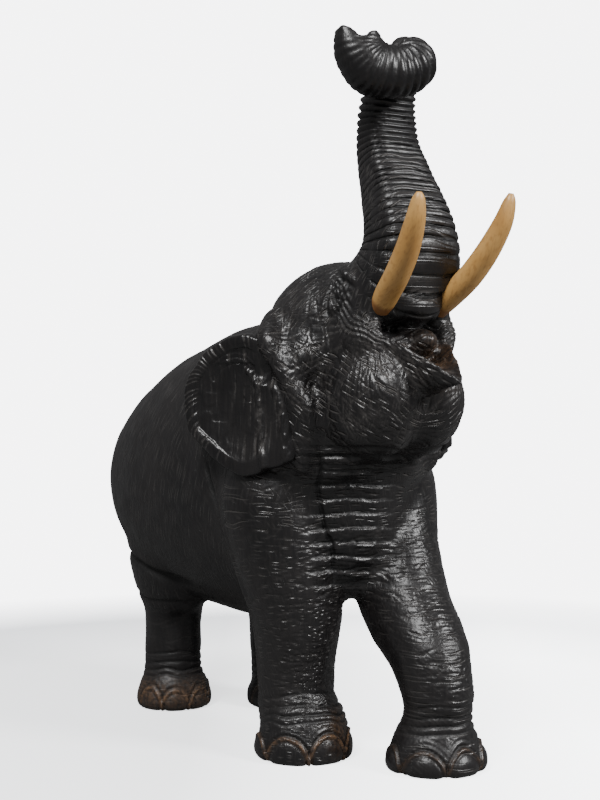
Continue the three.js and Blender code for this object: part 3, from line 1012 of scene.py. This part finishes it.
def pale():
    """Yellow, finely grained wood, with reddish glue round the root."""
    material, tree, shader = node_material("pale_wood")
    where = add(tree, "ShaderNodeTexCoord").outputs["Object"]
    fibre = streaks(tree, where, 1500, (1, 0.25, 0.25), 3)
    cloud = streaks(tree, where, 120, (1, 0.5, 0.5), 2)
    glued = remap(tree, carried(tree, "root"), 0.3, 1, 0, 0.8)
    color = blend_colors(tree, remap(tree, cloud, 0.3, 0.7, 0, 1), STRAW, CREAM)
    color = blend_colors(tree, remap(tree, fibre, 0.50, 0.72, 0, 0.55), color, FIBRE)
    color = blend_colors(tree, glued, color, GLUE)
    tree.links.new(color, shader.inputs["Base Color"])
    tree.links.new(remap(tree, fibre, 0.3, 0.7, 0.36, 0.52), shader.inputs["Roughness"])
    tree.links.new(rough_bump(tree, fibre, 0.0001, 0.4), shader.inputs["Normal"])
    return material


EBONISED = ebonised()
PALE = pale()
print("woods:", EBONISED.name, PALE.name)

# %% [markdown]
# ## Cutting the detail
# The heights of all the details are added up, and each point of the skin moves along its own
# normal by that much. Points also carry what the wood needs to know: where it is worn, how deep
# it is cut (for painted shade in the folds), where strokes lighten it (partly scuffed wear,
# partly painted highlight), where it is dull, its ring (for painted shade in the ring grooves)
# and its hatching. The skin is then cut by planes into closed pieces of a size that is easy to
# handle. Each keeps the whole skin's normals, so no seam shows between pieces.

# %% Apply the detail
def set_value(mesh, name, values):
    """One number a point, for the material to read."""
    data = mesh.attributes.new(name, "FLOAT", "POINT").data
    data.foreach_set("value", values.astype(np.float32))


def set_vector(mesh, name, values):
    """Three numbers a point."""
    data = mesh.attributes.new(name, "FLOAT_VECTOR", "POINT").data
    data.foreach_set("vector", values.astype(np.float32).ravel())


skin = hollow_tip(points_mm(block))
write_points(block, skin)
normal = normals_of(block)
ringed, ring_at, ring_depth = trunk_rings(skin)
folds = ringed + root_folds(skin) + chest_ridges(skin, normal) + soft_folds(skin)
folds += eye_detail(skin, normal, -1) + eye_detail(skin, normal, 1)
FEET = [(LEG_FRONT_RIGHT, FRONT_NAILS, 20.5, 9.2, 1.0, 61),
        (LEG_FRONT_LEFT, FRONT_NAILS, 20.5, 8.8, 1.0, 62),
        (LEG_REAR_RIGHT, REAR_NAILS, 18.2, 6.9, 0.6, 63),
        (LEG_REAR_LEFT, REAR_NAILS, 18.2, 6.9, 0.6, 64)]
BARE_RIMS = [0.75, 0.25, 0.5, 0.3]
rim_wear = np.zeros(len(skin))
for foot, bare in zip(FEET, BARE_RIMS):
    foot_height, rims = foot_detail(skin, *foot)
    folds += foot_height
    rim_wear += bare * rims
strokes = all_strokes(skin, normal)
uneven = 0.3 * noise(skin, 10, 1) + 0.16 * noise(skin, 4.5, 2)
height = folds + strokes + uneven * ramp(3, 10, skin[:, 2])
hatched = hatching(skin, normal)
skin = skin + normal * height[:, None]
skin[:, 2] = np.maximum(skin[:, 2], 0)
write_points(block, skin)
print("detail from", height.min().round(2), "to", height.max().round(2), "mm")

x, y, z = skin.T
seam = bump(z - 3, 5) * ramp(-0.2, -0.7, folds)
wear = 0.8 * bump(np.hypot(np.hypot(x + 7, y + 60), z - 12), 8) + 0.6 * seam
wear += 0.5 * bump(z - 8, 6) * (y > 20) * (abs(x) > 14)
wear += rim_wear
wear += 0.5 * bump(np.hypot(np.hypot(x - 5, y + 108), z - 168), 9)
set_value(block, "wear", np.clip(wear, 0, 1))
# Painted shade: the wood darkens, and is rougher, as deep as the folds go.
set_value(block, "hollow", np.clip(-folds / 0.9, 0, 1))
patches = np.clip(0.55 + 0.6 * noise(skin, 8, 9), 0, 1) * (0.3 + 0.7 * ramp(88, 112, z))
# Lighter along the strokes, less low on the legs: partly scuffed wear, partly painted highlight.
set_value(block, "scuff_and_highlight", np.clip(-strokes / 0.3 - 0.15, 0, 1) * patches)
set_value(block, "dull", ramp(-34, -8, y))
# The ring number and groove strength set the painted shade and bump of the ring grooves.
set_value(block, "ring", ring_at)
set_value(block, "ring_depth", ring_depth)
set_vector(block, "hatching", hatched)
set_vector(block, "whole_normal", normals_of(block))
print("worn points:", int((wear > 0.5).sum()), "of", len(wear))


# %% Cut the skin in pieces
# Where the planes lie, in mm: behind the chest, under the jaw, over the brow, before the hips.
CHEST_END, JAW, BROW, HIPS = -24, 134, 203, 34


def cut(mesh, point, direction):
    """The two halves of a closed mesh at a plane, each closed again by a flat face."""
    halves = []
    for side in (1, -1):
        work = bmesh.new()
        work.from_mesh(mesh)
        everything = work.verts[:] + work.edges[:] + work.faces[:]
        plane = (np.array(point, float) + shift) * MM
        bmesh.ops.bisect_plane(work, geom=everything, plane_co=plane, plane_no=direction,
                               clear_outer=side > 0, clear_inner=side < 0)
        rim = [edge for edge in work.edges if edge.is_boundary]
        bmesh.ops.holes_fill(work, edges=rim, sides=0)
        half = bpy.data.meshes.new(mesh.name)
        work.to_mesh(half)
        work.free()
        halves.append(half)
    return halves


ACROSS, BACKWARD, UPWARD = (1, 0, 0), (0, 1, 0), (0, 0, 1)
front, rear = cut(block, (0, CHEST_END, 0), BACKWARD)
forequarters, top = cut(front, (0, 0, JAW), UPWARD)
fore_right, fore_left = cut(forequarters, (0, 0, 0), ACROSS)
head, trunk = cut(top, (0, 0, BROW), UPWARD)
barrel, hind = cut(rear, (0, HIPS, 0), BACKWARD)
hind_right, hind_left = cut(hind, (0, 0, 0), ACROSS)
pieces = {"forequarter_right": fore_right, "forequarter_left": fore_left, "head": head,
          "trunk": trunk, "barrel": barrel, "hindquarter_right": hind_right,
          "hindquarter_left": hind_left}
for name, mesh in pieces.items():
    normals = np.empty(len(mesh.vertices) * 3, np.float32)
    mesh.attributes["whole_normal"].data.foreach_get("vector", normals)
    mesh.polygons.foreach_set("use_smooth", np.ones(len(mesh.polygons), bool))
    mesh.normals_split_custom_set_from_vertices(normals.reshape(-1, 3))
    piece = place(name, mesh)
    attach(piece, "root")
    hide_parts("carved_body")
    mesh.materials.append(EBONISED)
    print(name, sum(len(f.vertices) - 2 for f in mesh.polygons), "triangles")

# %% [markdown]
# ## The ears
# An ear is a thin plate with a rolled rim, cut with short notches, round a sunk panel that has
# two rope-like pleats, the ear's opening and upright grain lines. It is made as a grid: one
# parameter goes round the outline, and the other goes from the middle of the front out to the
# rim and back to the middle of the back.

# %% Ear outline and relief
EAR_ROOT = {-1: np.array([37.0, -68.0]), 1: np.array([37.5, -71.0])}
EAR_EDGE = np.array([64.0, -18.0])
EAR_OUTLINE = [[-1, 150], [0, 163], [8, 172.5], [19.4, 178], [26.4, 179], [33.5, 178], [39.9, 175],
               [45.8, 171.3], [50.4, 166.1], [54, 161], [55.7, 154.9], [56.2, 149.8],
               [55.4, 144.7], [53.4, 138.1], [49.9, 134], [45.2, 130.1], [39.5, 125.8],
               [33.6, 122], [28, 119.9], [21.8, 120.1], [14.7, 122.6], [5.4, 125.3], [1, 131]]
EAR_MIDDLE = np.array([26.0, 148.0])
EAR_LIP = [[41, 161], [38.5, 164.9], [34, 167.4], [29.6, 168.3], [25.6, 167.6], [22.6, 165]]
EAR_FOLD = [[24, 163.5], [20.8, 159.4], [16.4, 157.2]]
# Each pleat's line, height in mm, width in mm and seed.
PLEATS = [([[19.4, 157.5], [18.6, 148], [17.6, 138], [15.6, 124]], 1.25, 2.0, 126),
          ([[11.4, 157.5], [8.4, 151], [6.0, 143], [5.0, 134], [4.4, 127]], 1.3, 2.2, 128)]
NOTCH_PITCH = 2.5
EAR_LIFT = {-1: 0.0, 1: 5.0}


def closed_curve(corners, count):
    """Catmull-Rom round a closed row of corners, then spaced evenly by length."""
    c = np.asarray(corners, float)
    c = np.vstack([c[-1], c, c[:3]])
    t = np.linspace(1, len(c) - 3, count * 8, endpoint=False)
    i = t.astype(int)
    f = (t - i)[:, None]
    a, b, d, e = c[i - 1], c[i], c[i + 1], c[i + 2]
    p = b + 0.5 * f * ((d - a) + f * ((2 * a - 5 * b + 4 * d - e) + f * (3 * b - a - 3 * d + e)))
    arc = np.concatenate([[0], np.cumsum(np.linalg.norm(np.diff(p, axis=0, append=p[:1]), axis=1))])
    even = np.linspace(0, arc[-1], count, endpoint=False)
    return np.stack([np.interp(even, arc, np.append(p[:, k], p[0, k])) for k in (0, 1)], 1), even


def off_line(p, corners):
    """Distance in mm from each flat point to a row of straight lines."""
    best = np.full(len(p), 99.0)
    for a, b in zip(np.array(corners[:-1], float), np.array(corners[1:], float)):
        f = np.clip((p - a) @ (b - a) / ((b - a) @ (b - a)), 0, 1)
        best = np.minimum(best, np.linalg.norm(p - a - f[:, None] * (b - a), axis=1))
    return best


def ear_front(flat, edge, round_at, side):
    """Height in mm of the ear's front, and how much its notches and pleat lines are lightened, partly
    scuffed wear and partly painted highlight. `flat` is the distance out from the root and the
    height, `edge` the distance in from the outline and `round_at` the distance round it. Rolled
    rim, notches, grain, the opening with its lip, and the pleats are added up in that order."""
    out, up = flat.T
    third = np.stack([out, up, np.full(len(out), 9.0 * side)], 1)
    rolled = ramp(12, 22, out + (up - 178) * 0.3 * (up > 150)) * ramp(126, 140, up + out * 0.1)
    roll = np.sqrt(np.clip(1 - ((edge - 2.9) / 3.3) ** 2, 0, 1))
    h = 1.4 * rolled * roll - 1.7 * ramp(4, 19, edge)
    left = ramp(40, 50, out)
    notch_at = (round_at + (0.2 + 0.9 * left) * edge) / NOTCH_PITCH + 0.5 * noise(third, 8, 71)
    own = np.random.default_rng(72 + side).uniform(-0.5, 1.2, 200)[np.floor(notch_at).astype(int) % 200]
    notch = bump((notch_at % 1 - 0.5) * NOTCH_PITCH, 0.42) * np.clip(own, 0, 1)
    notch = notch * rolled * ramp(6.8 + 1.5 * left, 4.0, edge) * ramp(0.1, 0.9, edge)
    h -= 0.6 * notch
    panel = ramp(5.6, 8.4, edge)
    lines = noise(third * [1, 0.09, 1], 0.85, 73) + 0.6 * noise(third * [1, 0.14, 1], 1.7, 74)
    grain = np.clip(lines - 0.25, 0, 1)
    h += panel * (-0.6 * grain + 0.3 * noise(third, 9, 75) - 0.2 * ramp(0.1, 0.5, noise(third, 4, 78)))
    lip = off_line(flat, EAR_LIP)
    over, under = 0.4 * bump(lip - 2.2, 0.7) * (up > 166), 0.8 * ramp(2.4, 0.4, lip) * (up < 167)
    h += 0.7 * bump(lip, 1.0) + over - under
    aside, above = out - 13.5, up - 164.8
    long_way, short_way = aside * 0.85 - above * 0.52, aside * 0.52 + above * 0.85
    h -= 3.8 * np.exp(-(long_way / 8.0) ** 2 - (short_way / 4.2) ** 2)
    h += 1.3 * bump(off_line(flat, EAR_FOLD), 1.5)
    for corners, tall, wide, seed in PLEATS:
        away = off_line(flat, corners)
        broken = ramp(-0.55, 0.35, noise(third * [1, 0.55, 1], 1.5, seed))
        h += tall * bump(away, wide) * (0.55 + 0.45 * broken)
        # The broken stretches of each pleat are lightened too, as a painted highlight.
        grain = grain + 0.8 * bump(away, wide) * (1 - broken)
    h += 0.9 * ramp(6, 1, out) * noise(third * [1, 0.3, 1], 2.2, 77)
    root = np.clip(5.5 - out, 0, 20)
    return h - 0.16 * root ** 2, np.clip(1.5 * notch + 1.1 * grain * panel, 0, 1)


def ear(side):
    """The plate stands in an upright plane from its root to its edge. The front is raised by
    its relief, the back is `thick` behind the plane, and between them the rim is rounded. The
    second result is how much each point is lightened, partly scuffed wear and partly painted
    highlight."""
    around, thick = 640, 3.2
    outline, round_at = closed_curve(EAR_OUTLINE, around)
    uneven = 0.006 * np.sin(round_at / 3.1) + 0.004 * np.sin(round_at / 1.35 + 1)
    outline = outline + (outline - EAR_MIDDLE) * uneven[:, None]
    reach = np.linalg.norm(outline - EAR_MIDDLE, axis=1)
    front_share = np.concatenate([np.linspace(0.015, 0.96, 88), np.linspace(0.966, 1, 8)])
    back_share = np.linspace(1, 0.02, 44)[1:]
    root = np.array([side * EAR_ROOT[side][0], EAR_ROOT[side][1], EAR_LIFT[side]])
    out = np.array([*(EAR_EDGE - EAR_ROOT[side]), 0]) * [side, 1, 1]
    out /= np.linalg.norm(out)
    facing = np.array([side * abs(out[1]), -abs(out[0]), 0])
    rows, scuffs_and_highlights = [], []
    for share, front in [(s, True) for s in front_share] + [(s, False) for s in back_share]:
        flat = EAR_MIDDLE + (outline - EAR_MIDDLE) * share
        edge = reach * (1 - share)
        rim = np.clip(1 - edge / 1.5, 0, 1)
        drop = 1 - np.sqrt(np.clip(1 - rim ** 2, 0, 1))
        relief, scuff_and_highlight = ear_front(flat, edge, round_at, side)
        h = 0.6 + relief - drop * (0.6 + relief + thick / 2)
        if not front:
            h = -thick + drop * thick / 2 - 0.16 * np.clip(5.5 - flat[:, 0], 0, 20) ** 2
            h = h - 1.4 * ramp(4, 19, edge) + 0.3 * np.sin(flat[:, 0] / 5)
            scuff_and_highlight = scuff_and_highlight * 0
        scuffs_and_highlights.append(scuff_and_highlight)
        rows.append(root + out * flat[:, :1] + np.array([0, 0, 1]) * flat[:, 1:] + facing * h[:, None])
    ring, scuffs_and_highlights = np.array(rows), np.array(scuffs_and_highlights)
    if side > 0:
        ring, scuffs_and_highlights = ring[:, ::-1], scuffs_and_highlights[:, ::-1]
    return closed_grid(ring, ring[0].mean(0), ring[-1].mean(0)), np.append(scuffs_and_highlights.ravel(), [0, 0])


for name, side in (("ear_right", -1), ("ear_left", 1)):
    surface, scuff_and_highlight = ear(side)
    mesh = make_mesh(name, [surface])
    set_value(mesh, "scuff_and_highlight", scuff_and_highlight)
    piece = place(name, mesh)
    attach(piece, "root")
    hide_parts("carved_body")
    mesh.materials.append(EBONISED)
    print(name, len(mesh.polygons), "faces")

# %% [markdown]
# ## The tusks
# Each tusk is a pale wooden horn, sanded round, let into its socket and glued. It is a circle
# carried along the CAD model's own path, many times finer, with a rounded point. Near the root
# the wood is reddish with glue.

# %% Tusks
TUSK = [[13.6, -94.5, 189, 4.9, 4.9], [15.2, -102, 193.6, 5, 5], [17.2, -112, 200.6, 5, 5],
        [18.9, -121.3, 209.8, 4.7, 4.7], [20.5, -128.4, 219.8, 3.9, 3.9],
        [21.3, -131.6, 227.6, 2.6, 2.6], [21.6, -132.4, 231.2, 1, 1]]
TUSK_DROP = 2.7
TUSK_RINGS, TUSK_SIDES = 180, 72


def tusk(side):
    """The stations with x taken to that side. The right one's point is lower by TUSK_DROP, put
    on as the square of the way along."""
    way = np.linspace(0, 1, len(TUSK)) ** 2
    drop = TUSK_DROP * way * (side < 0)
    return [[side * x, y, z - d, a, b] for (x, y, z, a, b), d in zip(TUSK, drop)]


for name, side in (("tusk_right_carved", -1), ("tusk_left_carved", 1)):
    mesh = make_mesh(name, [loft(tusk(side), TUSK_RINGS, TUSK_SIDES)])
    ring = np.repeat(np.arange(TUSK_RINGS), TUSK_SIDES)
    set_value(mesh, "root", np.append(ramp(25, 13, ring), [1, 0]))
    piece = place(name, mesh)
    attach(piece, "root")
    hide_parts(name.replace("_carved", ""))
    mesh.materials.append(PALE)
    print(name, len(mesh.polygons), "faces")

# %% [markdown]
# ## A white table
# The camera looks level at the figure from its front right. The table is a white disc whose
# edge fades out, so that it melts into a white studio. What the camera sees of the studio is
# bright, but the light it throws on the wood is faint, and two soft lamps do the modelling.

# %% Camera
# The camera stands 636.6 mm from the figure's middle, 3.5 mm to the right, at mid height.
TURN = np.radians(30)
RIGHT = np.array([np.cos(TURN), -np.sin(TURN), 0])
AHEAD = np.array([np.sin(TURN), np.cos(TURN), 0])
SIDESTEP, DISTANCE, EYE_LEVEL = 3.5, 636.6, 151.5
viewpoint = SIDESTEP * RIGHT - DISTANCE * AHEAD + np.array([0, 0, EYE_LEVEL]) + shift
camera = bpy.data.objects.new("camera", bpy.data.cameras.new("camera"))
bpy.context.scene.collection.objects.link(camera)
camera.data.lens = 62.2
camera.location = viewpoint * MM
camera.rotation_euler = (np.pi / 2, 0, -TURN)
bpy.context.scene.camera = camera
print("camera at", np.array(camera.location).round(3), "m")


# %% Table
NEAR_WHITE = (0.84, 0.85, 0.87, 1)
# Painted shade: the bluish grey the table turns towards its edge.
EDGE_SHADE_GREY = (0.60, 0.63, 0.70, 1)
BOUNCED = (0.2, 0.2, 0.2, 1)
TABLE_RADIUS, TABLE_SIDES = 0.5, 96


def white_table():
    """White to the camera, with a painted light that makes it a little brighter to its right and a
    painted shade that greys it towards its edge; greyer to the light that bounces up on the wood,
    and clear beyond the table's edge."""
    material, tree, shader = node_material("white_table")
    seen = add(tree, "ShaderNodeLightPath").outputs["Is Camera Ray"]
    where = add(tree, "ShaderNodeTexCoord").outputs["Object"]
    reach = add(tree, "ShaderNodeVectorMath", {0: where}, operation="LENGTH").outputs["Value"]
    far = remap(tree, reach, 0.22, 0.42, 0, 1)
    white = blend_colors(tree, far, NEAR_WHITE, EDGE_SHADE_GREY)
    tree.links.new(blend_colors(tree, seen, BOUNCED, white), shader.inputs["Base Color"])
    shader.inputs["Roughness"].default_value = 0.9
    shader.inputs["Specular IOR Level"].default_value = 0.1
    shader.inputs["Emission Color"].default_value = (0.97, 0.985, 1, 1)
    # Painted light: the table glows up to 3.2 times brighter to the right.
    across = add(tree, "ShaderNodeVectorMath", {0: where, 1: RIGHT}, operation="DOT_PRODUCT")
    painted_light_to_right = remap(tree, across.outputs["Value"], -0.05, 0.13, 1, 3.2)
    glow = times(tree, remap(tree, far, 0, 1, 1.6, 0.9), painted_light_to_right)
    glow = times(tree, seen, glow)
    tree.links.new(glow, shader.inputs["Emission Strength"])
    clear = add(tree, "ShaderNodeBsdfTransparent").outputs[0]
    gone = remap(tree, reach, 0.34, 0.47, 0, 1)
    solid = add(tree, "ShaderNodeMixShader", {0: gone, 1: shader.outputs[0], 2: clear})
    tree.links.new(solid.outputs[0], tree.nodes["Material Output"].inputs["Surface"])
    return material


corners = np.linspace(0, 2 * np.pi, TABLE_SIDES, endpoint=False)
disc = [(TABLE_RADIUS * np.cos(a), TABLE_RADIUS * np.sin(a), 0) for a in corners]
floor_mesh = bpy.data.meshes.new("table_top")
floor_mesh.from_pydata(disc, [], [tuple(range(TABLE_SIDES))])
floor_mesh.materials.append(white_table())
floor = place("table_top", floor_mesh)
print("table:", 2 * TABLE_RADIUS, "m wide")


# %% Lamps and studio
FIGURE_MIDDLE = (0, -0.03, 0.15)
# How bright the studio is to the wood, and to the camera.
STUDIO_LIGHT, STUDIO_SEEN = 0.24, 6.3


def area_light(name, where, size, power):
    """A square lamp of a size in m and a power in W that looks at the figure's middle."""
    lamp = bpy.data.lights.new(name, "AREA")
    lamp.size = size
    lamp.energy = power
    lamp_object = bpy.data.objects.new(name, lamp)
    bpy.context.scene.collection.objects.link(lamp_object)
    lamp_object.location = where
    to_figure = Vector(where) - Vector(FIGURE_MIDDLE)
    lamp_object.rotation_euler = to_figure.to_track_quat("Z", "Y").to_euler()


area_light("front_right", (0.60, -1.10, 0.85), 0.40, 22)
area_light("upper_left", (-0.80, -0.55, 1.25), 0.45, 24)
studio = bpy.data.worlds.new("studio")
studio.use_nodes = True
backdrop = studio.node_tree.nodes["Background"]
backdrop.inputs["Color"].default_value = (0.985, 0.985, 1, 1)
by_camera = add(studio.node_tree, "ShaderNodeLightPath").outputs["Is Camera Ray"]
brightness = remap(studio.node_tree, by_camera, 0, 1, STUDIO_LIGHT, STUDIO_SEEN)
studio.node_tree.links.new(brightness, backdrop.inputs["Strength"])
bpy.context.scene.world = studio
